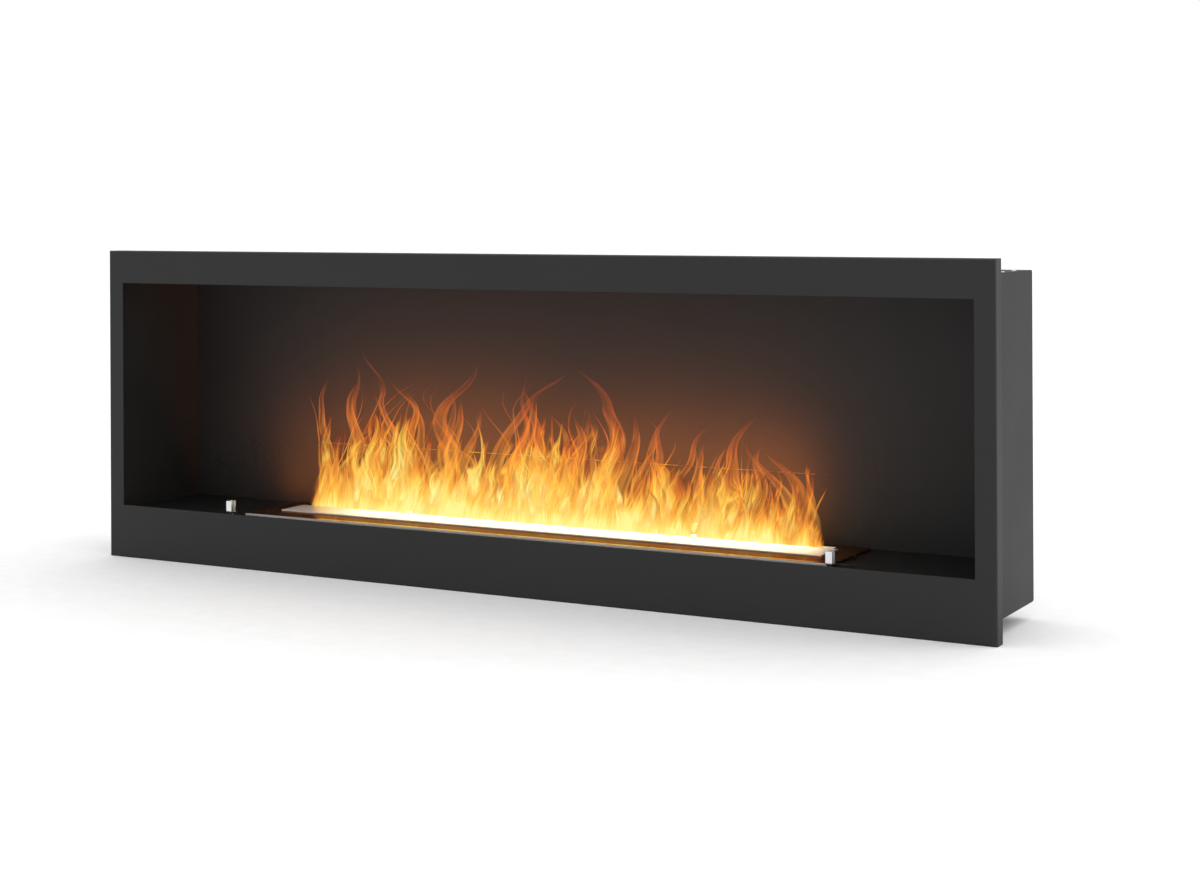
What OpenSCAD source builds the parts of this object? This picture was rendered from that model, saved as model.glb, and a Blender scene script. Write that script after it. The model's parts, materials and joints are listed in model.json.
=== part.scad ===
// Built-in linear ethanol fireplace: a flanged sheet-steel firebox with a
// drop-in slot burner, a sliding shutter that meters the flame, and a low
// glass windscreen held in two clips.
//
// Frame: +X to the right seen from the front, +Y from the front face into
// the wall, +Z up. The origin is the bottom centre of the bounding box.

/* [Front frame] */
// Overall width of the front frame
frame_w = 1200; // [900:10:1800]
// Overall height of the front frame
frame_h = 400; // [360:5:500]
// Depth of the folded return around the frame's edge
frame_return = 18.5; // [12:0.5:30]
// Thickness of the frame's steel
frame_t = 2; // [1.5:0.5:3]
// Outer radius of the folds round the frame's front edges
frame_fold_r = 2.5; // [1.5:0.5:4]
// Width of the border left and right of the opening
border_side = 23.5; // [18:0.5:60]
// Height of the border over the opening
border_top = 42; // [30:1:80]
// Height of the border under the opening
border_bottom = 68; // [60:1:90]

/* [Housing] */
// Depth from the front face to the back of the housing
total_depth = 163; // [155:1:300]
// Thickness of the housing's steel
sheet_t = 1.5; // [1:0.25:2]
// How far the housing's sides stand in from the frame's edge
inset_side = 11; // [8:0.5:16]
// How far the housing's top stands down from the frame's edge
inset_top = 16.5; // [10:0.5:26]
// How far the housing's underside stands up from the frame's edge
inset_bottom = 19; // [12:0.5:24]
// Outer radius of the folds in the housing
fold_r = 3; // [2:0.5:5]

/* [Hearth] */
// How far the hearth plate lies below the opening's lower edge
hearth_drop = 6.5; // [2:0.5:7]

/* [Burner] */
// Length of the burner's top plate
plate_w = 806; // [600:2:1100]
// Distance from the front face to the top plate's front edge
plate_front = 34.5; // [30:0.5:40]
// Width of the top plate, front to back
plate_d = 116; // [114:0.5:118]
// Thickness of the top plate
plate_t = 3; // [2:0.5:4]
// Length of the flame slot
slot_w = 732; // [400:2:1000]
// Width of the flame slot, front to back
slot_d = 20; // [14:1:20]
// Length of the shutter
shutter_w = 750; // [420:2:1020]
// Width of the shutter, front to back
shutter_d = 46.5; // [40:0.5:48]
// Thickness of the shutter
shutter_t = 1.5; // [1:0.25:2]
// Distance from the front face to the open shutter's front edge
shutter_front = 73; // [68:0.5:73]

/* [Windscreen] */
// Width of the glass
glass_w = 878; // [600:2:1100]
// Height of the glass
glass_h = 95; // [60:1:160]
// Thickness of the glass
glass_t = 4; // [3:1:4]
// Radius of the glass's two upper corners
glass_corner_r = 9; // [3:1:20]
// Distance between the two clips, centre to centre
clip_spacing = 820; // [400:2:1000]
// Width of a clip
clip_w = 8; // [7:0.5:14]
// Height of a clip's body
clip_h = 16.5; // [12:0.5:22]

/* [Fixings] */
// Diameter of the two wall screw holes in the back
wall_hole_d = 8; // [5:0.5:10]
// Distance between the wall screw holes
wall_hole_spacing = 900; // [400:10:1000]
// Diameter of the four floor screw holes in the underside
floor_hole_d = 6.5; // [4.5:0.5:8]
// Distance between the floor screw holes along the housing
floor_hole_x = 600; // [300:10:700]
// Distance between the floor screw holes across the housing
floor_hole_y = 45; // [30:5:60]

/* [Hidden] */
$fn = 48;
front_y = -total_depth / 2;
back_y = total_depth / 2;

// Opening in the front frame.
open_w = frame_w - 2 * border_side;
open_z0 = border_bottom;
open_z1 = frame_h - border_top;

// Outer faces of the housing, and the faces of its inner space.
house_w = frame_w - 2 * inset_side;
house_z0 = inset_bottom;
house_z1 = frame_h - inset_top;
inner_w = house_w - 2 * sheet_t;
inner_z0 = house_z0 + sheet_t;
inner_z1 = house_z1 - sheet_t;
inner_back = back_y - sheet_t;
joint_y = front_y + frame_t;          // where the housing meets the frame
tab = 12;                             // width of the housing's folded tabs
side_tab = 9;                         // width of the side panels' front tabs
tab_clear = 0.5;                      // gap between tabs at the corners

// Hearth plate and what carries it.
hearth_z = open_z0 - hearth_drop;     // top of the hearth plate
hearth_under = hearth_z - sheet_t;
hearth_skirt = 15;                    // how far its edges fold down
support_w = 30;                       // width of a support bracket
support_x = plate_w / 2 + 40;         // where the brackets stand

// Burner.
plate_y0 = front_y + plate_front;
plate_y1 = plate_y0 + plate_d;
plate_top = hearth_z + plate_t;
shutter_y0 = front_y + shutter_front;
shutter_y1 = shutter_y0 + shutter_d;
slot_y0 = shutter_y1 - 0.5;           // the open shutter just clears the slot
slot_y1 = slot_y0 + slot_d;
shutter_travel = slot_d + 2;
shutter_top = plate_top + shutter_t;
tank_t = 1.2;
tank_w = plate_w - 36;
tank_y0 = plate_y0 + 27.5;
tank_y1 = plate_y1 - 4;
tank_z0 = inner_z0 + 10.5;
tray_t = 1;
tray_gap = 4;                         // air gap between the tank's two walls
tray_w = tank_w - 2 * (tank_t + tray_gap);
tray_y0 = tank_y0 + tank_t + tray_gap;
tray_y1 = tank_y1 - tank_t - tray_gap;
tray_z0 = tank_z0 + tank_t + 2;
tray_z1 = hearth_z - 4;
baffle_count = 3;
baffle_t = 1;
wool_clear = 0.5;
wool_top = tray_z1 - 4;
guide_len = 10;                       // length of a shutter guide tab
guide_drop = 2.5;                     // how far it reaches under the plate
guide_y0 = shutter_y0 + 20;
guide_x = shutter_w / 2 - 1;          // outer face of a guide tab
guide_clear = 0.25;
knob_x = 200;
knob_y = shutter_y1 - 12.5;
knob_stem_r = 1.5;
knob_head_r = 3.3;
knob_head_t = 2.4;
knob_h = 5;                           // above the shutter

// Windscreen and its clips.
glass_y = front_y + 14;               // middle of the glass
clip_leg = 2;
clip_gap = glass_t + 1;               // slot in a clip, lined with a pad
pad_t = 0.4;
clip_y0 = glass_y - clip_gap / 2 - clip_leg;
clip_y1 = glass_y + clip_gap / 2 + clip_leg;
clip_z0 = hearth_z + 4.7;             // a clip's body stands on a short foot
clip_floor = clip_z0 + 2.8;           // floor of the slot in a clip
glass_z0 = clip_floor + pad_t;
clip_foot_r = 2.5;
grub_r = 1.5;
grub_z = clip_z0 + 10;
base_screw_r = 1.5;
screw_clear = 0.2;

// Fasteners between frame and housing.
stud_r = 2.5;
stud_len = 9;
nut_r = 4.6;
nut_t = 4;
stud_x = [-480, -160, 160, 480];
rivet_r = 1.6;
rivet_y = [front_y + 40, front_y + 80, front_y + 120];

// ---- shared shapes ----

// A box from one corner to the opposite one.
module block(low, high) {
    translate(low) cube(high - low);
}

// A box centred on X.
module centred(w, y0, y1, z0, z1) {
    block([-w / 2, y0, z0], [w / 2, y1, z1]);
}

// A round bar from a point, along +X, +Y or +Z.
module bar_x(at, r, len) {
    translate(at) rotate([0, 90, 0]) cylinder(r = r, h = len);
}
module bar_y(at, r, len) {
    translate(at) rotate([-90, 0, 0]) cylinder(r = r, h = len);
}
module bar_z(at, r, len) {
    translate(at) cylinder(r = r, h = len);
}

// A profile drawn in Y and Z, made into a bar along X and centred on it.
module along_x(w) {
    translate([-w / 2, 0, 0]) rotate([90, 0, 90]) linear_extrude(w) children();
}

// The piece of a folded sheet that goes round a corner, in the quarter that
// turns towards +x and +y of the drawing.
module fold(r, t) {
    intersection() {
        difference() {
            circle(r);
            circle(r - t);
        }
        square(r);
    }
}

// An open-topped box of thin sheet.
module trough(w, y0, y1, z0, z1, t) {
    difference() {
        centred(w, y0, y1, z0, z1);
        centred(w - 2 * t, y0 + t, y1 - t, z0 + t, z1 + 1);
    }
}

// Every stud position, as [x, z], on the housing's front tabs.
function stud_places() =
    [for (z = [inner_z0 + tab / 2, inner_z1 - tab / 2], x = stud_x) [x, z]];

// ---- frame and housing ----

// A flat shape in Y and Z, rounded at its two front corners.
module soft_profile(y0, y1, z0, z1, r) {
    translate([y0 + r, z0]) square([y1 - y0 - r, z1 - z0]);
    translate([y0, z0 + r]) square([r, z1 - z0 - 2 * r]);
    for (z = [z0 + r, z1 - r]) translate([y0 + r, z]) circle(r);
}

// A block whose four front edges are rounded.
module soft_block(w, y0, y1, z0, z1, r) {
    intersection() {
        along_x(w) soft_profile(y0, y1, z0, z1, r);
        translate([0, 0, z0]) linear_extrude(z1 - z0)
            mirror([1, -1]) soft_profile(y0, y1, -w / 2, w / 2, r);
    }
}

module front_frame() {
    color("#303030") difference() {
        soft_block(frame_w, front_y, front_y + frame_return, 0, frame_h,
            frame_fold_r);
        centred(frame_w - 2 * frame_t, joint_y, front_y + frame_return + 1,
            frame_t, frame_h - frame_t);
        centred(open_w, front_y - 1, joint_y + 1, open_z0, open_z1);
    }
}

module frame_studs() {
    color("silver") for (p = stud_places())
        bar_y([p[0], joint_y, p[1]], stud_r, stud_len);
}

module frame_nuts() {
    color("silver") for (p = stud_places()) difference() {
        union() {
            bar_y([p[0], joint_y + sheet_t, p[1]], nut_r, 1);
            translate([p[0], joint_y + sheet_t + 1, p[1]])
                rotate([-90, 0, 0]) cylinder(r = nut_r, h = nut_t, $fn = 6);
        }
        bar_y([p[0], joint_y, p[1]], stud_r + 0.1, stud_len + 1);
    }
}

// Holes in a front tab for the frame's studs.
module stud_holes() {
    for (p = stud_places())
        bar_y([p[0], joint_y - 1, p[1]], stud_r + 0.25, sheet_t + 2);
}

// Top, back and bottom of the housing, folded from one sheet.
module shell_profile() {
    t = sheet_t;
    r = fold_r;
    translate([joint_y, house_z1 - t]) square([back_y - r - joint_y, t]);
    translate([joint_y, house_z0]) square([back_y - r - joint_y, t]);
    translate([back_y - t, house_z0 + r])
        square([t, house_z1 - house_z0 - 2 * r]);
    translate([back_y - r, house_z1 - r]) fold(r, t);
    translate([back_y - r, house_z0 + r]) mirror([0, 1]) fold(r, t);
}

module housing_shell() {
    tab_w = inner_w - 2 * (side_tab + tab_clear);
    color("#2c2c2c") difference() {
        union() {
            along_x(inner_w) shell_profile();
            centred(tab_w, joint_y, joint_y + sheet_t, inner_z1 - tab, inner_z1);
            centred(tab_w, joint_y, joint_y + sheet_t, inner_z0, inner_z0 + tab);
        }
        stud_holes();
        for (s = [-1, 1])
            bar_y([s * wall_hole_spacing / 2, inner_back - 1, inner_z1 - 12],
                wall_hole_d / 2, sheet_t + 2);
        for (sx = [-1, 1], sy = [-1, 1])
            bar_z([sx * floor_hole_x / 2,
                (tank_y0 + tank_y1) / 2 + sy * floor_hole_y / 2, house_z0 - 1],
                floor_hole_d / 2, sheet_t + 2);
        for (s = [-1, 1], y = rivet_y)
            bar_z([s * (inner_w - tab) / 2, y, inner_z1 - 1],
                rivet_r + 0.1, sheet_t + 2);
    }
}

// The outline of a side panel, which closes the end of the folded shell.
module side_outline() {
    r = fold_r;
    translate([joint_y, house_z0])
        square([back_y - r - joint_y, house_z1 - house_z0]);
    translate([back_y - r, house_z0 + r])
        square([r, house_z1 - house_z0 - 2 * r]);
    translate([back_y - r, house_z1 - r]) circle(r);
    translate([back_y - r, house_z0 + r]) circle(r);
}

// The right-hand side panel, with its tabs folded inwards.
module side_panel() {
    x0 = inner_w / 2;
    t = sheet_t;
    color("#343434") difference() {
        union() {
            translate([x0 + t / 2, 0, 0]) along_x(t) side_outline();
            block([x0 - side_tab, joint_y, inner_z0],
                [x0, joint_y + t, inner_z1]);
            block([x0 - tab, joint_y + tab, inner_z1 - t],
                [x0, inner_back - tab, inner_z1]);
            block([x0 - tab, joint_y + tab, inner_z0],
                [x0, inner_back - tab, inner_z0 + t]);
        }
        for (y = rivet_y)
            bar_z([x0 - tab / 2, y, inner_z1 - t - 1], rivet_r + 0.1, t + 2);
    }
}

module right_side_panel() { side_panel(); }
module left_side_panel() { mirror([1, 0, 0]) side_panel(); }

// Blind rivets that hold the shell's top to the side panels' tabs.
module side_rivets() {
    grip = 2 * sheet_t;
    head_t = 0.8;
    color("silver") for (s = [-1, 1], y = rivet_y)
        translate([s * (inner_w - tab) / 2, y, house_z1]) {
            cylinder(r1 = rivet_r + 1.6, r2 = rivet_r + 0.6, h = head_t);
            translate([0, 0, -grip]) cylinder(r = rivet_r, h = grip);
            translate([0, 0, -grip - 2 * head_t])
                cylinder(r = rivet_r + 0.8, h = 2 * head_t);
        }
}

// ---- hearth ----

module hearth_plate() {
    w = inner_w - 2 * (side_tab + tab_clear);
    cut = 2;                          // clearance round the burner's tank
    color("#1c1c1c") difference() {
        union() {
            centred(inner_w, joint_y + sheet_t + tab_clear, inner_back,
                hearth_under, hearth_z);
            centred(w, joint_y, joint_y + sheet_t + tab_clear + 1,
                hearth_under, hearth_z);
            centred(w, joint_y, joint_y + sheet_t,
                hearth_z - hearth_skirt, hearth_z);
            centred(w, inner_back - sheet_t, inner_back,
                hearth_z - hearth_skirt, hearth_z);
        }
        centred(tank_w + 2 * cut, tank_y0 - cut, tank_y1 + cut,
            hearth_under - 1, hearth_z + 1);
        for (s = [-1, 1])
            bar_z([s * clip_spacing / 2, glass_y, hearth_under - 1],
                base_screw_r + screw_clear, sheet_t + 2);
    }
}

// A hat-shaped bracket that carries the hearth plate beside the burner.
module hearth_support() {
    y0 = joint_y + 30;
    y1 = inner_back - 10;
    t = sheet_t;
    x = support_x;
    foot = 12;
    color("#2c2c2c") {
        block([x, y0, inner_z0], [x + t, y1, hearth_under - t]);
        block([x + support_w - t, y0, inner_z0],
            [x + support_w, y1, hearth_under - t]);
        block([x, y0, hearth_under - t], [x + support_w, y1, hearth_under]);
        block([x - foot, y0, inner_z0], [x, y1, inner_z0 + t]);
        block([x + support_w, y0, inner_z0],
            [x + support_w + foot, y1, inner_z0 + t]);
    }
}

module right_hearth_support() { hearth_support(); }
module left_hearth_support() { mirror([1, 0, 0]) hearth_support(); }

// ---- burner ----

module burner_plate() {
    r = 2;
    color("#8a8078") difference() {
        centred(plate_w, plate_y0, plate_y1, hearth_z, plate_top);
        centred(slot_w - 2 * r, slot_y0, slot_y1, hearth_z - 1, plate_top + 1);
        centred(slot_w, slot_y0 + r, slot_y1 - r, hearth_z - 1, plate_top + 1);
        for (sx = [-1, 1], y = [slot_y0 + r, slot_y1 - r])
            bar_z([sx * (slot_w / 2 - r), y, hearth_z - 1], r, plate_t + 2);
        for (s = [-1, 1]) guide_slot(s);
    }
}

// The cross slot in which a guide tab of the shutter runs.
module guide_slot(side) {
    c = guide_clear;
    x = side * (guide_x - shutter_t / 2);
    block([x - shutter_t / 2 - c, guide_y0 - c, hearth_z - 1],
        [x + shutter_t / 2 + c, guide_y0 + guide_len + shutter_travel + c,
            plate_top + 1]);
}

module burner_tank() {
    color("silver")
        trough(tank_w, tank_y0, tank_y1, tank_z0, hearth_z, tank_t);
}

module fuel_tray() {
    color("silver") trough(tray_w, tray_y0, tray_y1, tray_z0, tray_z1, tray_t);
}

// Blocks that keep the fuel tray off the tank's floor.
module tray_spacers() {
    color("dimgray") for (x = [-300, 0, 300], s = [-1, 1])
        translate([x, (tray_y0 + tray_y1) / 2 + s * 22, tank_z0 + tank_t])
            cylinder(r = 6, h = tray_z0 - tank_z0 - tank_t);
}

// The inner space of the fuel tray, cut into equal cells by the baffles.
cells = baffle_count + 1;
cell_w = (tray_w - 2 * tray_t - baffle_count * baffle_t) / cells;
function cell_x(i) = -tray_w / 2 + tray_t + i * (cell_w + baffle_t);

module tray_baffles() {
    color("silver") for (i = [1:baffle_count])
        block([cell_x(i) - baffle_t, tray_y0 + tray_t, tray_z0 + tray_t],
            [cell_x(i), tray_y1 - tray_t, tray_z1 - 1]);
}

module ceramic_wool() {
    c = wool_clear;
    color("white") for (i = [0:cells - 1])
        block([cell_x(i) + c, tray_y0 + tray_t + c, tray_z0 + tray_t],
            [cell_x(i) + cell_w - c, tray_y1 - tray_t - c, wool_top]);
}

// The sliding plate that opens and closes the flame slot.
module shutter() {
    color("#d8d4d0") difference() {
        union() {
            centred(shutter_w, shutter_y0, shutter_y1, plate_top, shutter_top);
            for (s = [-1, 1]) block(
                [s * guide_x - (s > 0 ? shutter_t : 0), guide_y0,
                    hearth_z - guide_drop],
                [s * guide_x + (s > 0 ? 0 : shutter_t), guide_y0 + guide_len,
                    shutter_top]);
        }
        for (s = [-1, 1])
            bar_z([s * knob_x, knob_y, plate_top - 1], knob_stem_r,
                shutter_t + 2);
    }
}

// A headed pin, riveted into the shutter, by which it is pushed.
module shutter_knob(side) {
    neck = knob_h - knob_head_t;
    color("whitesmoke") translate([side * knob_x, knob_y, plate_top]) {
        cylinder(r = knob_stem_r, h = shutter_t + neck);
        translate([0, 0, shutter_t])
            cylinder(r1 = knob_stem_r + 0.8, r2 = knob_stem_r, h = 1);
        translate([0, 0, shutter_t + neck])
            cylinder(r = knob_head_r, h = knob_head_t - 0.6);
        translate([0, 0, shutter_t + knob_h - 0.6])
            cylinder(r1 = knob_head_r, r2 = knob_head_r - 0.6, h = 0.6);
    }
}

module left_shutter_knob() { shutter_knob(-1); }
module right_shutter_knob() { shutter_knob(1); }

// ---- windscreen ----

module windscreen() {
    y0 = glass_y - glass_t / 2;
    z1 = glass_z0 + glass_h;
    r = glass_corner_r;
    color("#9fb4b4", 0.4) {
        centred(glass_w, y0, y0 + glass_t, glass_z0, z1 - r);
        centred(glass_w - 2 * r, y0, y0 + glass_t, z1 - r, z1);
        for (s = [-1, 1])
            bar_y([s * (glass_w / 2 - r), y0, z1 - r], r, glass_t);
    }
}

// A clip: a block with a round lower end, slotted for the glass, on a foot.
module glass_clip(side) {
    x = side * clip_spacing / 2;
    r = clip_w / 2;
    color("gainsboro") difference() {
        union() {
            block([x - r, clip_y0, clip_z0 + r], [x + r, clip_y1, clip_z0 + clip_h]);
            bar_y([x, clip_y0, clip_z0 + r], r, clip_y1 - clip_y0);
            bar_z([x, glass_y, hearth_z], clip_foot_r, clip_z0 - hearth_z + 1);
        }
        block([x - r - 1, glass_y - clip_gap / 2, clip_floor],
            [x + r + 1, glass_y + clip_gap / 2, clip_z0 + clip_h + 1]);
        bar_y([x, clip_y1 - clip_leg - 1, grub_z], grub_r + 0.1, clip_leg + 2);
        bar_z([x, glass_y, hearth_z - 1], base_screw_r + 0.1, 6);
    }
}

module left_glass_clip() { glass_clip(-1); }
module right_glass_clip() { glass_clip(1); }

// A soft liner between a clip and the glass.
module clip_pad(side) {
    x = side * clip_spacing / 2;
    h = clip_w / 2 - 0.5;
    y0 = glass_y - clip_gap / 2;
    y1 = glass_y + clip_gap / 2;
    z1 = clip_z0 + clip_h - 0.5;
    color("#e8e8e8") {
        block([x - h, y0, clip_floor], [x + h, y1, glass_z0]);
        block([x - h, y0, glass_z0], [x + h, y0 + pad_t, z1]);
        block([x - h, y1 - pad_t, glass_z0], [x + h, y1, z1]);
    }
}

module left_clip_pad() { clip_pad(-1); }
module right_clip_pad() { clip_pad(1); }

// Hexagon-socket grub screws in the clips' rear legs.
module clip_grub_screws() {
    color("dimgray") for (s = [-1, 1]) difference() {
        bar_y([s * clip_spacing / 2, clip_y1 - clip_leg, grub_z], grub_r,
            clip_leg + 0.5);
        translate([s * clip_spacing / 2, clip_y1 - 1.2, grub_z])
            rotate([-90, 0, 0]) cylinder(r = 0.9, h = 3, $fn = 6);
    }
}

// Screws that hold the clips' feet down on the hearth plate.
module clip_base_screws() {
    color("dimgray") for (s = [-1, 1])
        translate([s * clip_spacing / 2, glass_y, 0]) {
            bar_z([0, 0, hearth_under], base_screw_r, 5);
            bar_z([0, 0, hearth_under - 2], 2.8, 2);
        }
}

front_frame();
frame_studs();
frame_nuts();
housing_shell();
left_side_panel();
right_side_panel();
side_rivets();
hearth_plate();
left_hearth_support();
right_hearth_support();
burner_plate();
burner_tank();
fuel_tray();
tray_spacers();
tray_baffles();
ceramic_wool();
shutter();
left_shutter_knob();
right_shutter_knob();
windscreen();
left_glass_clip();
right_glass_clip();
left_clip_pad();
right_clip_pad();
clip_grub_screws();
clip_base_screws();
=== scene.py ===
"""Looks of the built-in linear fireplace: camera, studio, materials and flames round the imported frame."""

import json
import math
import random

import bpy
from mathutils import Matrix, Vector
from mathutils import noise as noise3

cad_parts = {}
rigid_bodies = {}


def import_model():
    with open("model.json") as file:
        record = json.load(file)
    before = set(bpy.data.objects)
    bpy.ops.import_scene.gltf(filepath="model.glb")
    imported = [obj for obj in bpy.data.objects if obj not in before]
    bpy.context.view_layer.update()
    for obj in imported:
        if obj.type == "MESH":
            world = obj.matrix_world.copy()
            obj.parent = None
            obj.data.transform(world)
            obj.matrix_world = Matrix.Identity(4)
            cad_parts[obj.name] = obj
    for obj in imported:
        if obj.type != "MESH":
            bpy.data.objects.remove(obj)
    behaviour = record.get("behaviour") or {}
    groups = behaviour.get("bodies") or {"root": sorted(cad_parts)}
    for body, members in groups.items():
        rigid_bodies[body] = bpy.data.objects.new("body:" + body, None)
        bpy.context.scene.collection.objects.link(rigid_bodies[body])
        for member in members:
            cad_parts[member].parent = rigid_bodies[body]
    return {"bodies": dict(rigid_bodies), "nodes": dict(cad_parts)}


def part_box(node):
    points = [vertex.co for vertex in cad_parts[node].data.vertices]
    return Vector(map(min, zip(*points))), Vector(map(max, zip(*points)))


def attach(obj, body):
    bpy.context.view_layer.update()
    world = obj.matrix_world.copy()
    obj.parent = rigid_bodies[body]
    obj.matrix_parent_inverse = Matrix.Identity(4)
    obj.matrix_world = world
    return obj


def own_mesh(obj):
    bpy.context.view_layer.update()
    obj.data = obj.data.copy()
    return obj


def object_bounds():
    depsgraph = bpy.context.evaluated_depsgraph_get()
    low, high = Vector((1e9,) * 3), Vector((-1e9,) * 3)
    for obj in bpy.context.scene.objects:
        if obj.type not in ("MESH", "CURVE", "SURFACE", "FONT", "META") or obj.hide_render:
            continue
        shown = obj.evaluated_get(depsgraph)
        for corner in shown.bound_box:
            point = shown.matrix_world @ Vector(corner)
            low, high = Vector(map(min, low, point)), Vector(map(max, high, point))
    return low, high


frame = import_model()
cad_low, cad_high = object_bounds()
nodes = frame["nodes"]

# ---- driving sizes, all from the frame, in metres ----

WIDTH = cad_high.x - cad_low.x
FRONT = cad_low.y
BACK = cad_high.y
_, plate_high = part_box("burner_plate")
shutter_low, shutter_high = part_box("shutter")
_, tray_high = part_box("fuel_tray")

# The flame slot lies behind the open shutter, which reaches past both its ends. At the back, the burner
# plate's lip covers the tray's wall.
SHUTTER_LAP = 0.009
REAR_LIP = 0.0025
SLOT_FRONT = shutter_high.y
SLOT_BACK = tray_high.y - REAR_LIP
SLOT_HALF = shutter_high.x - SHUTTER_LAP

# Flames start just over the tray's rim, and stay clear of the back wall.
FLAME_FLOOR = tray_high.z + 0.001
FLAME_BACK = BACK - 0.006

# The flames' two ends, as shares of half the slot's length.
FLAME_LEFT = -1.0
FLAME_RIGHT = 0.965

# Where the tongues of flame stand, as a share of the slot's depth from its front.
LICK_PLACE = 0.6


# ---- camera ----


def make_camera():
    """A level camera to the right of the fireplace, with the horizon held high by a vertical shift."""
    upright = math.pi / 2
    roll = math.radians(0.266)
    turn = math.radians(28.84)
    camera = bpy.data.cameras.new("camera")
    camera.lens = 61.02
    camera.sensor_width = 36
    camera.shift_y = -0.1978
    obj = bpy.data.objects.new("camera", camera)
    obj.location = (1.0438 * WIDTH, FRONT - 1.6896 * WIDTH, 0.3812 * WIDTH)
    obj.rotation_mode = "XYZ"
    obj.rotation_euler = (upright, roll, turn)
    bpy.context.scene.collection.objects.link(obj)
    bpy.context.scene.camera = obj


# ---- studio ----


def make_world():
    """White studio: brightest behind the object, and pure white wherever the camera sees it directly."""
    front_strength = 0.6
    back_strength = 0.8
    white = (1, 1, 1, 1)
    world = bpy.data.worlds.new("studio")
    world.use_nodes = True
    tree = world.node_tree
    tree.nodes.clear()
    coords = tree.nodes.new("ShaderNodeTexCoord")
    split = tree.nodes.new("ShaderNodeSeparateXYZ")
    strength = tree.nodes.new("ShaderNodeMapRange")
    path = tree.nodes.new("ShaderNodeLightPath")
    lit = tree.nodes.new("ShaderNodeBackground")
    seen = tree.nodes.new("ShaderNodeBackground")
    either = tree.nodes.new("ShaderNodeMixShader")
    out = tree.nodes.new("ShaderNodeOutputWorld")
    strength.inputs["From Min"].default_value = -1
    strength.inputs["From Max"].default_value = 1
    strength.inputs["To Min"].default_value = front_strength
    strength.inputs["To Max"].default_value = back_strength
    lit.inputs["Color"].default_value = white
    seen.inputs["Color"].default_value = white
    tree.links.new(coords.outputs["Generated"], split.inputs[0])
    tree.links.new(split.outputs["Y"], strength.inputs["Value"])
    tree.links.new(strength.outputs["Result"], lit.inputs["Strength"])
    tree.links.new(path.outputs["Is Camera Ray"], either.inputs["Fac"])
    tree.links.new(lit.outputs[0], either.inputs[1])
    tree.links.new(seen.outputs[0], either.inputs[2])
    tree.links.new(either.outputs[0], out.inputs["Surface"])
    bpy.context.scene.world = world


def area_light(name, place, target, length, height, watts, colour=(1, 1, 1), body=None):
    """A rectangular light at a place, facing a target. One that rides on a body shows in no reflection."""
    data = bpy.data.lights.new(name, "AREA")
    data.shape = "RECTANGLE"
    data.size = length
    data.size_y = height
    data.energy = watts
    data.color = colour
    obj = bpy.data.objects.new(name, data)
    obj.location = place
    obj.rotation_euler = (Vector(target) - Vector(place)).to_track_quat("-Z", "Y").to_euler()
    obj.visible_camera = False
    obj.visible_transmission = False
    bpy.context.scene.collection.objects.link(obj)
    if body:
        obj.visible_glossy = False
        obj.parent = frame["bodies"][body]


def overhead_sun():
    """Even light from above, as soft as a bright ceiling."""
    data = bpy.data.lights.new("overhead", "SUN")
    data.energy = 1.6
    data.angle = math.radians(100)
    obj = bpy.data.objects.new("overhead", data)
    bpy.context.scene.collection.objects.link(obj)


def make_floor():
    """A plain pale floor just under the fireplace."""
    reach = 60.0
    mesh = bpy.data.meshes.new("floor")
    corners = [(x * reach, y * reach, cad_low.z) for x, y in ((-1, -1), (1, -1), (1, 1), (-1, 1))]
    mesh.from_pydata(corners, [], [(0, 1, 2, 3)])
    floor = bpy.data.objects.new("floor", mesh)
    bpy.context.scene.collection.objects.link(floor)
    mat, tree, shader = new_material("floor_paint")
    grain = noise(tree, 40, 3, 0.5)
    tone = ramp(tree, grain, [(0.3, (0.90, 0.90, 0.90)), (0.7, (0.93, 0.93, 0.93))])
    tree.links.new(tone, shader.inputs["Base Color"])
    shader.inputs["Roughness"].default_value = 0.9
    shader.inputs["Specular IOR Level"].default_value = 0.1
    mesh.materials.append(mat)


# ---- shader helpers ----


def new_material(name):
    """A node material, its tree and its Principled shader."""
    mat = bpy.data.materials.new(name)
    mat.use_nodes = True
    return mat, mat.node_tree, mat.node_tree.nodes["Principled BSDF"]


def object_coords(tree, stretch=(1, 1, 1)):
    """Object coordinates in metres, stretched along each axis."""
    coords = tree.nodes.new("ShaderNodeTexCoord")
    mapping = tree.nodes.new("ShaderNodeMapping")
    mapping.inputs["Scale"].default_value = stretch
    tree.links.new(coords.outputs["Object"], mapping.inputs["Vector"])
    return mapping.outputs["Vector"]


def noise(tree, scale, detail, roughness, stretch=(1, 1, 1)):
    """Noise over the object, with so many cells to a metre, times the stretch along each axis."""
    texture = tree.nodes.new("ShaderNodeTexNoise")
    texture.inputs["Scale"].default_value = scale
    texture.inputs["Detail"].default_value = detail
    texture.inputs["Roughness"].default_value = roughness
    tree.links.new(object_coords(tree, stretch), texture.inputs["Vector"])
    return texture.outputs["Fac"]


def ramp(tree, value, stops):
    """Colours, or greys given as one number, at places from 0 to 1."""
    node = tree.nodes.new("ShaderNodeValToRGB")
    elements = node.color_ramp.elements
    elements.remove(elements[1])
    for index, (place, colour) in enumerate(stops):
        element = elements.new(place) if index else elements[0]
        element.position = place
        element.color = (*colour, 1) if isinstance(colour, tuple) else (colour, colour, colour, 1)
    tree.links.new(value, node.inputs["Fac"])
    return node.outputs["Color"]


def math_node(tree, operation, a, b=None, c=None, clamp=False):
    """One sum on sockets or numbers."""
    node = tree.nodes.new("ShaderNodeMath")
    node.operation = operation
    node.use_clamp = clamp
    for socket, value in zip(node.inputs, (a, b, c)):
        if value is None:
            continue
        if isinstance(value, (int, float)):
            socket.default_value = value
        else:
            tree.links.new(value, socket)
    return node.outputs[0]


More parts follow.
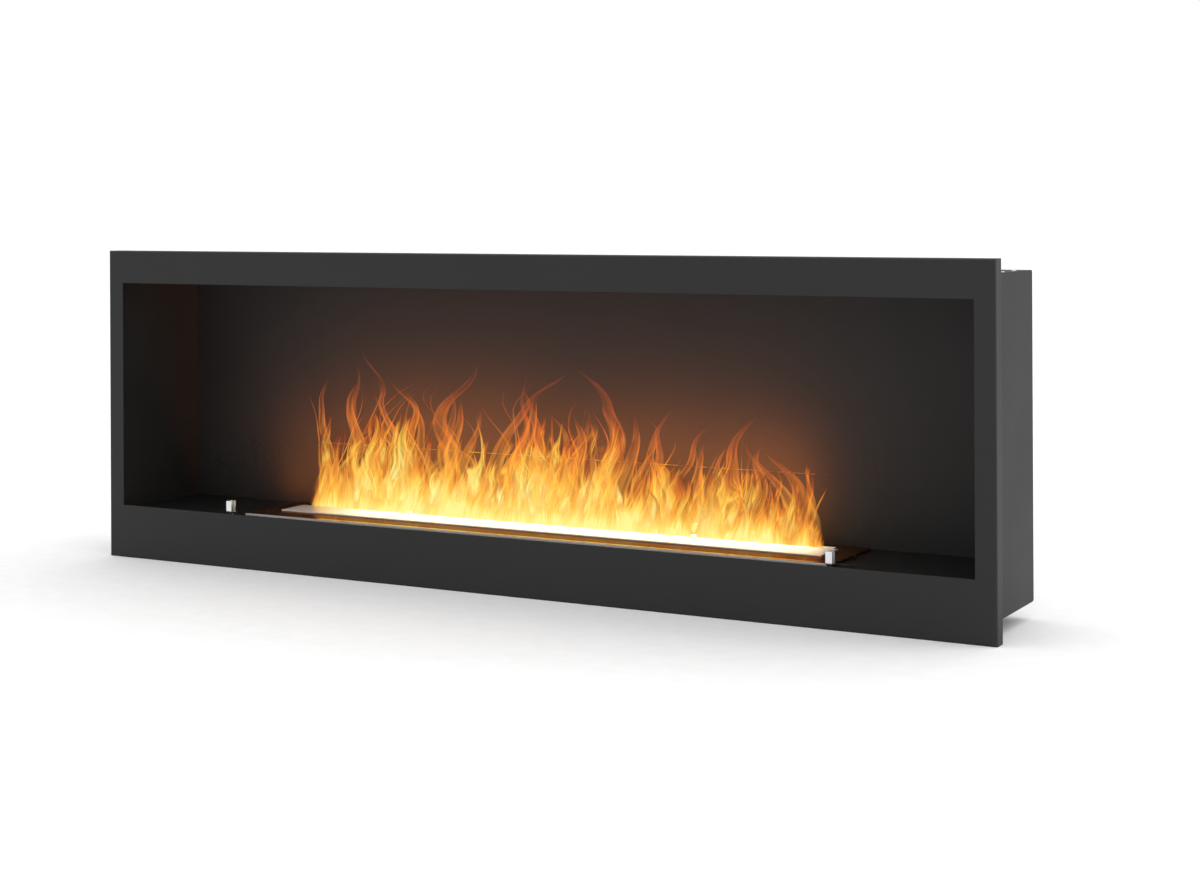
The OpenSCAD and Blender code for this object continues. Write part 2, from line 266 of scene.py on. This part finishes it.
def bump(tree, shader, height, strength, distance, soft_edge=0.0):
    """Bump from a height, over edges that are softened by a small bevel if one is given."""
    node = tree.nodes.new("ShaderNodeBump")
    node.inputs["Strength"].default_value = strength
    node.inputs["Distance"].default_value = distance
    tree.links.new(height, node.inputs["Height"])
    if soft_edge:
        bevel = tree.nodes.new("ShaderNodeBevel")
        bevel.samples = 4
        bevel.inputs["Radius"].default_value = soft_edge
        tree.links.new(bevel.outputs["Normal"], node.inputs["Normal"])
    tree.links.new(node.outputs["Normal"], shader.inputs["Normal"])


# ---- materials of the metal, glass and wool ----


def powder_coat(name, dark, light, rough, grain_m, specular):
    """Matte powder coat: fine orange-peel grain, with faint cloudy changes of tone."""
    mat, tree, shader = new_material(name)
    cloud = noise(tree, 7, 4, 0.55)
    speck = noise(tree, 1 / grain_m, 2, 0.5)
    mixed = math_node(tree, "MULTIPLY_ADD", speck, 0.35, math_node(tree, "MULTIPLY", cloud, 0.65))
    tone = ramp(tree, mixed, [(0.35, (dark,) * 3), (0.65, (light,) * 3)])
    tree.links.new(tone, shader.inputs["Base Color"])
    gloss = ramp(tree, cloud, [(0.3, rough - 0.05), (0.7, rough + 0.05)])
    tree.links.new(gloss, shader.inputs["Roughness"])
    shader.inputs["Specular IOR Level"].default_value = specular
    bump(tree, shader, speck, 0.25, 0.0003, 0.0008)
    return mat


def brushed_metal(name, colour, rough, along):
    """Stainless steel with fine brush lines along one axis: 0 for x, 1 for y."""
    mat, tree, shader = new_material(name)
    lines_to_a_metre = 700.0
    breaks_to_a_metre = 12.0
    stretch = [lines_to_a_metre] * 3
    stretch[along] = breaks_to_a_metre
    lines = noise(tree, 1, 3, 0.6, stretch=tuple(stretch))
    smears = noise(tree, 22, 4, 0.6)
    darker = tuple(0.86 * c for c in colour)
    tone = ramp(tree, lines, [(0.3, darker), (0.7, colour)])
    tree.links.new(tone, shader.inputs["Base Color"])
    worn = math_node(tree, "MULTIPLY_ADD", lines, 0.5, math_node(tree, "MULTIPLY", smears, 0.5))
    gloss = ramp(tree, worn, [(0.3, rough * 0.8), (0.7, rough * 1.25)])
    tree.links.new(gloss, shader.inputs["Roughness"])
    shader.inputs["Metallic"].default_value = 1.0
    bump(tree, shader, lines, 0.12, 0.0001, 0.0006)
    return mat


def facing_front(tree):
    """1 on faces that look towards the front, 0 elsewhere."""
    coords = tree.nodes.new("ShaderNodeTexCoord")
    split = tree.nodes.new("ShaderNodeSeparateXYZ")
    tree.links.new(coords.outputs["Normal"], split.inputs[0])
    return ramp(tree, math_node(tree, "MULTIPLY", split.outputs["Y"], -1), [(0.5, 0.0), (0.7, 1.0)])


def mix(tree, factor, a, b):
    """Colour a where factor is 0 and b where it is 1."""
    node = tree.nodes.new("ShaderNodeMix")
    node.data_type = "RGBA"
    for socket, value in ((node.inputs["Factor"], factor), (node.inputs["A"], a), (node.inputs["B"], b)):
        if isinstance(value, tuple):
            socket.default_value = (*value, 1)
        else:
            tree.links.new(value, socket)
    return node.outputs["Result"]


def sheet_with_painted_edge_highlight(name, dark, light, grazing, rough, metallic, soft_edge):
    """Brushed steel sheet, hazed by heat, whose front edge is ground bare and rounded over. The edge's
    near-white colour is partly bare metal and partly a painted highlight.

    Its face runs from dark to light, and turns to the grazing colour where it is seen from low down.
    """
    mat, tree, shader = new_material(name)
    edge = facing_front(tree)
    lines = noise(tree, 1, 3, 0.6, stretch=(10, 550, 550))
    haze = noise(tree, 15, 4, 0.6)
    mixed = math_node(tree, "MULTIPLY_ADD", lines, 0.5, math_node(tree, "MULTIPLY", haze, 0.5))
    tone = ramp(tree, mixed, [(0.35, dark), (0.65, light)])
    scratches = noise(tree, 1, 3, 0.6, stretch=(60, 900, 900))
    # Painted highlight: the faces that look towards the front take a near-white colour, lighter than bare
    # ground steel, which stands in for the light glancing off the edge.
    edge_metal_and_painted_highlight = ramp(tree, scratches, [(0.3, (0.88, 0.83, 0.79)), (0.7, (0.98, 0.95, 0.92))])
    tree.links.new(mix(tree, edge, tone, edge_metal_and_painted_highlight), shader.inputs["Base Color"])
    gloss = ramp(tree, haze, [(0.3, rough * 0.8), (0.7, rough * 1.25)])
    tree.links.new(mix(tree, edge, gloss, (0.3,) * 3), shader.inputs["Roughness"])
    tree.links.new(mix(tree, edge, (metallic,) * 3, (0.4,) * 3), shader.inputs["Metallic"])
    shader.inputs["Specular Tint"].default_value = (*grazing, 1)
    bump(tree, shader, lines, 0.12, 0.0001, soft_edge)
    return mat


def chrome(name):
    """Polished chrome with faint wipe marks."""
    mat, tree, shader = new_material(name)
    marks = noise(tree, 90, 4, 0.7)
    tone = ramp(tree, marks, [(0.3, (0.66, 0.66, 0.67)), (0.7, (0.76, 0.76, 0.77))])
    tree.links.new(tone, shader.inputs["Base Color"])
    gloss = ramp(tree, marks, [(0.35, 0.10), (0.7, 0.2)])
    tree.links.new(gloss, shader.inputs["Roughness"])
    shader.inputs["Metallic"].default_value = 1.0
    bump(tree, shader, marks, 0.03, 0.0001, 0.0007)
    return mat


def satin_steel(name):
    """Bead-blasted steel that scatters most of the light."""
    mat, tree, shader = new_material(name)
    grit = noise(tree, 1500, 2, 0.5)
    tone = ramp(tree, grit, [(0.3, (0.86, 0.84, 0.81)), (0.7, (0.95, 0.94, 0.92))])
    tree.links.new(tone, shader.inputs["Base Color"])
    shader.inputs["Metallic"].default_value = 0.35
    shader.inputs["Roughness"].default_value = 0.4
    bump(tree, shader, grit, 0.3, 0.0001, 0.0006)
    return mat


def clear_glass(name):
    """Clear low-reflection glass with the faintest smears."""
    mat, tree, shader = new_material(name)
    smears = noise(tree, 9, 3, 0.5)
    tone = ramp(tree, smears, [(0.3, (0.975, 0.985, 0.98)), (0.7, (0.985, 0.995, 0.99))])
    tree.links.new(tone, shader.inputs["Base Color"])
    shader.inputs["Roughness"].default_value = 0.0
    shader.inputs["Transmission Weight"].default_value = 1.0
    shader.inputs["IOR"].default_value = 1.03
    return mat


def ceramic_wool(name):
    """Matted white fibres, scorched a little where the flames start."""
    mat, tree, shader = new_material(name)
    fibres = noise(tree, 1, 6, 0.75, stretch=(420, 160, 300))
    scorch = noise(tree, 18, 4, 0.6)
    mixed = math_node(tree, "MULTIPLY_ADD", fibres, 0.5, math_node(tree, "MULTIPLY", scorch, 0.5))
    tone = ramp(tree, mixed, [(0.3, (0.45, 0.40, 0.34)), (0.6, (0.85, 0.83, 0.78))])
    tree.links.new(tone, shader.inputs["Base Color"])
    shader.inputs["Roughness"].default_value = 0.95
    bump(tree, shader, fibres, 0.8, 0.001)
    return mat


def soft_silicone(name):
    """Milky silicone liner."""
    mat, tree, shader = new_material(name)
    haze = noise(tree, 250, 3, 0.5)
    tone = ramp(tree, haze, [(0.3, (0.66, 0.66, 0.65)), (0.7, (0.76, 0.76, 0.75))])
    tree.links.new(tone, shader.inputs["Base Color"])
    shader.inputs["Roughness"].default_value = 0.55
    bump(tree, shader, haze, 0.2, 0.0002)
    return mat


def dress(material, *names):
    """Puts one material on all of a CAD node's slots."""
    for name in names:
        mesh = nodes[name].data
        mesh.materials.clear()
        mesh.materials.append(material)


def dress_frame():
    """Gives every CAD node its material."""
    dress(
        powder_coat("frame_coat", dark=0.017, light=0.021, rough=0.55, grain_m=0.0011, specular=0.3),
        "front_frame",
    )
    dress(
        powder_coat("housing_coat", dark=0.017, light=0.022, rough=0.6, grain_m=0.0013, specular=0.3),
        "housing_shell",
        "left_side_panel",
        "right_side_panel",
        "left_hearth_support",
        "right_hearth_support",
    )
    dress(
        powder_coat("hearth_coat", dark=0.010, light=0.014, rough=0.4, grain_m=0.0013, specular=0.35),
        "hearth_plate",
    )
    tinted = sheet_with_painted_edge_highlight(
        "burner_steel",
        dark=(0.12, 0.06, 0.035),
        light=(0.34, 0.18, 0.09),
        grazing=(0.42, 0.24, 0.13),
        rough=0.16,
        metallic=0.85,
        soft_edge=0.0015,
    )
    dress(tinted, "burner_plate")
    pale = sheet_with_painted_edge_highlight(
        "shutter_steel",
        dark=(0.88, 0.82, 0.80),
        light=(0.96, 0.93, 0.92),
        grazing=(1.0, 1.0, 1.0),
        rough=0.34,
        metallic=0.5,
        soft_edge=0.0014,
    )
    dress(pale, "shutter")
    dress(
        brushed_metal("tank_steel", (0.55, 0.54, 0.52), rough=0.35, along=0),
        "burner_tank",
        "fuel_tray",
        "tray_spacers",
        "tray_baffles",
    )
    dress(
        brushed_metal("plated_steel", (0.62, 0.62, 0.58), rough=0.3, along=1),
        "frame_studs",
        "frame_nuts",
        "side_rivets",
        "clip_grub_screws",
        "clip_base_screws",
    )
    dress(chrome("clip_chrome"), "left_glass_clip", "right_glass_clip")
    dress(satin_steel("knob_satin"), "left_shutter_knob", "right_shutter_knob")
    dress(clear_glass("screen_glass"), "windscreen")
    dress(ceramic_wool("wool"), "ceramic_wool")
    dress(soft_silicone("silicone"), "left_clip_pad", "right_clip_pad")


# ---- flames ----


def flame_reach(s):
    """Height that the flames reach over the burner, for s from -1 at the left end to 1 at the right."""
    slope = 0.150 - 0.045 * s
    swell = 0.014 * math.cos(2.6 * s - 0.4) + 0.007 * math.sin(9.0 * s + 1.0)
    return slope + swell


def uv_pair(tree, layer):
    """The two numbers and the vector held in a UV layer."""
    node = tree.nodes.new("ShaderNodeUVMap")
    node.uv_map = layer
    split = tree.nodes.new("ShaderNodeSeparateXYZ")
    tree.links.new(node.outputs[0], split.inputs[0])
    return split.outputs["X"], split.outputs["Y"], node.outputs[0]


def vector_math(tree, operation, a, b):
    """One sum on a vector socket and a vector, or on a vector and the number that scales it."""
    node = tree.nodes.new("ShaderNodeVectorMath")
    node.operation = operation
    tree.links.new(a, node.inputs[0])
    if isinstance(b, tuple):
        node.inputs[1].default_value = b
    else:
        tree.links.new(b, node.inputs[3 if operation == "SCALE" else 1])
    return node.outputs[0]


def pattern(tree, point, across, up, detail=2.0, output="Fac"):
    """Noise over a point in metres, with so many cells to a metre across and up."""
    texture = tree.nodes.new("ShaderNodeTexNoise")
    texture.inputs["Scale"].default_value = 1.0
    texture.inputs["Detail"].default_value = detail
    texture.inputs["Roughness"].default_value = 0.5
    tree.links.new(vector_math(tree, "MULTIPLY", point, (across, up, 1.0)), texture.inputs["Vector"])
    return texture.outputs[output]


def stirred(tree, point, across, up, metres, lift):
    """The point pushed about by noise: by up to so many metres, as far as lift, from 0 to 1, allows."""
    push = pattern(tree, point, across, up, 1.0, "Color")
    push = vector_math(tree, "SUBTRACT", push, (0.5, 0.5, 0.5))
    push = vector_math(tree, "MULTIPLY", push, (2 * metres, metres, 0.0))
    return vector_math(tree, "ADD", point, vector_math(tree, "SCALE", push, lift))


def ridge(tree, value, width):
    """A thin bright line wherever noise passes through its middle value."""
    off = math_node(tree, "ABSOLUTE", math_node(tree, "SUBTRACT", value, 0.5))
    return math_node(tree, "SUBTRACT", 1.0, math_node(tree, "DIVIDE", off, width), clamp=True)


def glow(tree, shader, warmth, brightness):
    """Emission from dull red at 0 to pale yellow at 1."""
    tone = ramp(
        tree,
        warmth,
        [
            (0.0, (0.16, 0.030, 0.015)),
            (0.2, (0.42, 0.080, 0.020)),
            (0.4, (0.80, 0.220, 0.030)),
            (0.6, (0.98, 0.440, 0.050)),
            (0.8, (1.00, 0.670, 0.115)),
            (1.0, (1.00, 0.880, 0.290)),
        ],
    )
    tree.links.new(tone, shader.inputs["Emission Color"])
    shader.inputs["Emission Strength"].default_value = brightness
    shader.inputs["Base Color"].default_value = (0, 0, 0, 1)
    shader.inputs["Roughness"].default_value = 1.0
    shader.inputs["Specular IOR Level"].default_value = 0.0


def curtain_material(name):
    """Sheet of burning gas, solid and pale low down, thin and red above, torn into tongues.

    It reads two UV layers: "metres" has the place on the sheet, and "warmth" has the heat, from 0 at the top
    to 1 at the foot, and the distance from the sheet's middle, from 0 to 1.
    """
    mat, tree, shader = new_material(name)
    _, rise, point = uv_pair(tree, "metres")
    heat, along, _ = uv_pair(tree, "warmth")

    # The gas is calm at its foot, and stirred in full from 50 mm up.
    lift = math_node(tree, "DIVIDE", rise, 0.05, clamp=True)
    point = stirred(tree, point, 18, 11, 0.030, lift)
    point = stirred(tree, point, 55, 22, 0.008, lift)

    # Tongues stand where the noise is above a level that rises as the gas cools. Thin bright threads run
    # through them.
    tongues = pattern(tree, point, 50, 6)
    level = ramp(tree, heat, [(0.0, 0.72), (0.2, 0.57), (0.5, 0.47), (0.75, 0.38), (1.0, 0.15)])
    above = math_node(tree, "SUBTRACT", tongues, level)
    inside = math_node(tree, "DIVIDE", above, 0.06, clamp=True)
    core = math_node(tree, "DIVIDE", above, 0.24, clamp=True)
    rim = math_node(tree, "SUBTRACT", inside, core)
    fine = ridge(tree, pattern(tree, point, 160, 11, 1.0), 0.05)
    broad = ridge(tree, pattern(tree, point, 80, 7, 1.0), 0.05)
    threads = math_node(tree, "MAXIMUM", fine, broad)
    threads = math_node(tree, "MULTIPLY", threads, ramp(tree, heat, [(0.7, 1.0), (1.0, 0.35)]))

    # Alpha: a veil of gas in patches, with brighter threads and rims, that fades out at the sheet's ends.
    patches = pattern(tree, point, 26, 8)
    veil = ramp(tree, heat, [(0.0, 0.07), (0.3, 0.17), (0.6, 0.34), (0.85, 0.6), (1.0, 0.8)])
    veil = math_node(tree, "MULTIPLY", veil, ramp(tree, patches, [(0.35, 0.35), (0.6, 1.0)]))
    alpha = math_node(tree, "MULTIPLY_ADD", threads, 0.5, veil)
    alpha = math_node(tree, "MULTIPLY_ADD", rim, 0.16, alpha)
    alpha = math_node(tree, "MULTIPLY", alpha, inside)
    ends = math_node(tree, "DIVIDE", math_node(tree, "SUBTRACT", 1.0, along), 0.02, clamp=True)
    alpha = math_node(tree, "MULTIPLY", alpha, ends, clamp=True)
    tree.links.new(alpha, shader.inputs["Alpha"])

    # Colour: from the heat, uneven in patches, hotter in the tongues' cores and threads, cooler at the ends.
    patches = math_node(tree, "SUBTRACT", patches, 0.55)
    warmth = math_node(tree, "MULTIPLY_ADD", patches, 1.9, heat)
    cooler_ends = math_node(tree, "MULTIPLY", math_node(tree, "POWER", along, 5), 0.3)
    warmth = math_node(tree, "SUBTRACT", warmth, cooler_ends)
    warmth = math_node(tree, "MULTIPLY_ADD", core, 0.25, math_node(tree, "SUBTRACT", warmth, 0.08))
    warmth = math_node(tree, "MULTIPLY_ADD", threads, 0.26, warmth)
    hottest = math_node(tree, "MULTIPLY_ADD", heat, 0.85, 0.38)
    warmth = math_node(tree, "MINIMUM", warmth, hottest, clamp=True)
    glow(tree, shader, warmth, 1.1)
    mat.cycles.emission_sampling = "NONE"
    return mat


def lick_material(name, solidity, brightness):
    """Single tongue of gas: brighter along its edges, orange below and a faint red at the tip.

    It reads three UV layers: "shape" has the place across and along the tongue, both from 0 to 1, "metres"
    has it in metres, and "warmth" has the heat.
    """
    mat, tree, shader = new_material(name)
    side, t, _ = uv_pair(tree, "shape")
    _, _, point = uv_pair(tree, "metres")
    heat, _, _ = uv_pair(tree, "warmth")
    streak = pattern(tree, point, 240, 26)
    across = math_node(tree, "ABSOLUTE", math_node(tree, "MULTIPLY_ADD", side, 2, -1))
    edge = ramp(tree, across, [(0.0, 0.35), (0.5, 0.45), (0.8, 0.9), (1.0, 0.0)])
    tip = ramp(tree, t, [(0.0, 0.0), (0.3, 0.4), (0.7, 0.9), (0.9, 0.7), (1.0, 0.0)])
    holes = ramp(tree, streak, [(0.38, 0.25), (0.62, 1.0)])
    alpha = math_node(tree, "MULTIPLY", math_node(tree, "MULTIPLY", edge, tip), holes)
    alpha = math_node(tree, "MULTIPLY", alpha, solidity, clamp=True)
    tree.links.new(alpha, shader.inputs["Alpha"])
    warmth = math_node(tree, "MULTIPLY", heat, 0.75)
    warmth = math_node(tree, "MULTIPLY_ADD", streak, 0.25, warmth, clamp=True)
    glow(tree, shader, warmth, brightness)
    mat.cycles.emission_sampling = "NONE"
    return mat


def flame_piece(name, mesh, layers, material):
    """Finishes a flame: texture coordinates, material, and the burner that it rides on.

    The flames sink under the shutter as it slides shut, which is how the fire is put out.
    """
    for layer_name, values in layers:
        layer = mesh.uv_layers.new(name=layer_name)
        for loop in mesh.loops:
            layer.data[loop.index].uv = values[loop.vertex_index]
    mesh.shade_smooth()
    mesh.materials.append(material)
    obj = bpy.data.objects.new(name, mesh)
    obj.visible_diffuse = False
    obj.visible_shadow = False
    bpy.context.scene.collection.objects.link(obj)
    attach(obj, "burner")
    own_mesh(obj)


def make_curtain(name, material, y, share, drift):
    """One wavy sheet of gas along the slot, share of the full reach high.

    Its height comes in clumps about 70 mm wide, and drops off over the last 20 mm at each end. It waves to
    and fro, calm at its foot and in full from 50 mm up. drift sets its waves apart from the other sheets'.
    """
    columns = 240
    rows = 20
    wave_depth = 0.012
    verts = []
    metres = []
    warmth = []
    for i in range(columns + 1):
        along = i / columns
        s = FLAME_LEFT + (FLAME_RIGHT - FLAME_LEFT) * along
        x = s * SLOT_HALF
        clump = noise3.noise(Vector((x * 14, 5.1 * drift, 0)))
        from_end = SLOT_HALF * min(s - FLAME_LEFT, FLAME_RIGHT - s)
        shoulder = min(1, 0.35 + from_end / 0.03)
        reach = flame_reach(s) * share * (1 + 0.35 * clump) * shoulder
        for j in range(rows + 1):
            rise = reach * j / rows
            wave = noise3.noise(Vector((x * 26 + drift, rise * 15, drift)))
            deep = min(y + wave_depth * min(1, rise / 0.05) * wave, FLAME_BACK)
            verts.append((x, deep, FLAME_FLOOR + rise))
            metres.append((x - 0.18 * rise + drift, rise))
            warmth.append((1 - j / rows, abs(2 * along - 1)))
    faces = []
    for i in range(columns):
        for j in range(rows):
            a = i * (rows + 1) + j
            faces.append((a, a + rows + 1, a + rows + 2, a + 1))
    mesh = bpy.data.meshes.new(name)
    mesh.from_pydata(verts, [], faces)
    flame_piece(name, mesh, (("metres", metres), ("warmth", warmth)), material)


class Licks:
    """Builds tongues of flame into one mesh, with the texture coordinates that their material reads.

    Each tongue is a tube of flattened rings. ring is the number of points in a ring, and steps the number of
    stretches from foot to tip.
    """

    def __init__(self, ring, steps, seed):
        self.ring = ring
        self.steps = steps
        self.rng = random.Random(seed)
        self.draught = Vector((0.0, 0.0, 7.3 * seed))
        self.verts = []
        self.faces = []
        self.shape = []
        self.metres = []
        self.warmth = []

    def sway(self, x, height, own):
        """Sideways drift at a height: a slow swing that neighbours share, and a tongue's own curl."""
        swing = noise3.noise(Vector((x * 9, height * 13, 0)) + self.draught)
        curl = noise3.noise(Vector((x * 34 + own, height * 21, own)))
        return 0.5 * height * swing + 0.015 * min(1, height / 0.04) * curl

    def add(self, s, y, height, width, lean, curl):
        """Adds a tapering tongue that stands at s, from -1 to 1 along the slot, and whose tip curls over."""
        rng = self.rng
        own = rng.uniform(0, 50)
        twist = rng.uniform(-0.6, 0.6)
        x0 = s * SLOT_HALF
        reach = flame_reach(s)
        start = len(self.verts)
        for i in range(self.steps + 1):
            t = i / self.steps
            rise = height * t
            mid_x = x0 + lean * rise + curl * t**3 + self.sway(x0, rise, own)
            mid_y = y + 0.3 * self.sway(x0 + 3, rise, own)
            # Narrow at the foot, widest a sixth of the way up, then tapering to the tip.
            belly = 0.5 + 0.5 * min(1, t / 0.16)
            taper = max(0.02, 1 - t) ** 0.7
            half = 0.5 * width * belly * taper
            bend = twist * t
            for k in range(self.ring):
                around = 2 * math.pi * k / self.ring
                across = half * math.cos(around)
                out = 0.3 * half * math.sin(around)
                ring_x = mid_x + across * math.cos(bend) - out * math.sin(bend)
                ring_y = mid_y + across * math.sin(bend) + out * math.cos(bend)
                # The foot stays behind the shutter's edge, and the rest may lean a little over it.
                ring_y = min(max(ring_y, SLOT_FRONT + 0.001 - 0.2 * rise), FLAME_BACK)
                self.verts.append((ring_x, ring_y, FLAME_FLOOR + rise))
                self.shape.append((0.5 + 0.5 * math.cos(around), t))
                self.metres.append((across + own, rise + own))
                self.warmth.append((max(0, 1 - rise / reach), s))
        for i in range(self.steps):
            for k in range(self.ring):
                a = start + i * self.ring + k
                b = start + i * self.ring + (k + 1) % self.ring
                self.faces.append((a, b, b + self.ring, a + self.ring))
        last = start + self.steps * self.ring
        self.faces.append(tuple(start + k for k in reversed(range(self.ring))))
        self.faces.append(tuple(last + k for k in range(self.ring)))

    def finish(self, name, material):
        """Makes one piece of all the tongues."""
        mesh = bpy.data.meshes.new(name)
        mesh.from_pydata(self.verts, [], self.faces)
        layers = (("shape", self.shape), ("metres", self.metres), ("warmth", self.warmth))
        flame_piece(name, mesh, layers, material)


def make_curtains():
    """Sheets of gas across the slot's depth, the tallest at the back."""
    count = 6
    material = curtain_material("flame_curtain")
    for i in range(count):
        back = (i + 0.5) / count
        y = SLOT_FRONT + (SLOT_BACK - SLOT_FRONT) * back
        make_curtain(f"flame_curtain_{i + 1}", material, y, 0.55 + 0.45 * back, 3.7 * (i + 1))


def scatter_licks(name, material, seed, ring, steps, count, share, width, curl):
    """Tongues spread along the slot with some chance, which lean to the left near its ends.

    share is the range of their heights against the full reach, and width the range of their widths.
    """
    licks = Licks(ring, steps, seed)
    rng = licks.rng
    depth = SLOT_BACK - SLOT_FRONT
    last = 0.95 * FLAME_RIGHT
    lowest, highest = share
    for i in range(count):
        s = FLAME_LEFT + (last - FLAME_LEFT) * (i + rng.uniform(0.1, 0.9)) / count
        height = flame_reach(s) * (lowest + (highest - lowest) * rng.random() ** 1.5)
        y = SLOT_FRONT + depth * (LICK_PLACE + rng.uniform(-0.15, 0.15))
        breadth = rng.uniform(*width)
        lean = rng.gauss(0.05, 0.06) - 0.14 * s**6
        licks.add(s, y, height, breadth, lean, rng.gauss(0, curl))
    licks.finish(name, material)


def make_licks():
    """Thin threads, tall faint wisps and three broad curls, which rise out of the curtains."""
    thread = lick_material("flame_thread", solidity=0.6, brightness=1.9)
    wisp = lick_material("flame_wisp", solidity=0.42, brightness=1.9)
    scatter_licks(
        "flame_threads",
        thread,
        seed=11,
        ring=6,
        steps=24,
        count=36,
        share=(0.70, 1.15),
        width=(0.0025, 0.006),
        curl=0.012,
    )
    scatter_licks(
        "flame_wisps",
        wisp,
        seed=12,
        ring=12,
        steps=28,
        count=28,
        share=(0.80, 1.25),
        width=(0.018, 0.036),
        curl=0.022,
    )
    curls = Licks(ring=12, steps=28, seed=21)
    y = SLOT_FRONT + LICK_PLACE * (SLOT_BACK - SLOT_FRONT)
    for s, share, curl in ((0.17, 1.25, -0.045), (0.90, 1.05, -0.028), (-0.42, 1.2, 0.024)):
        curls.add(s, y, share * flame_reach(s), width=0.04, lean=0.1, curl=curl)
    curls.finish("flame_curls", wisp)


def flame_lights():
    """Lamps that stand in for the flames' own light, and move with the burner."""
    red = (1.0, 0.27, 0.05)
    yellow = (1.0, 0.81, 0.57)

    # Two lamps in the flames face the back wall, each with its place and length in half slots.
    y = (SLOT_FRONT + SLOT_BACK) / 2 - 0.02
    z = plate_high.z + 0.06
    for name, place, length, watts in (("glow_back", 0.0, 1.75, 3.0), ("glow_left", -0.75, 0.9, 0.75)):
        x = place * SLOT_HALF
        area_light(name, (x, y, z), (x, BACK, z + 0.03), length * SLOT_HALF, 0.12, watts, red, "burner")

    # A low lamp over the slot faces the shutter, and doesn't reach the wall.
    x = 0.08 * SLOT_HALF
    place = (x, SLOT_FRONT, plate_high.z + 0.04)
    target = (x, shutter_low.y, plate_high.z)
    area_light("glow_down", place, target, 1.75 * SLOT_HALF, 0.03, 1.0, yellow, "burner")


# ---- put it together ----

make_camera()
make_world()
make_floor()
overhead_sun()
area_light("right_fill", place=(3.0, 1.2, 1.3), target=(0.6, 0, 0.2), length=1.6, height=1.6, watts=18)
bpy.context.scene.view_settings.view_transform = "Standard"
bpy.context.scene.cycles.transparent_max_bounces = 48
dress_frame()
make_curtains()
make_licks()
flame_lights()
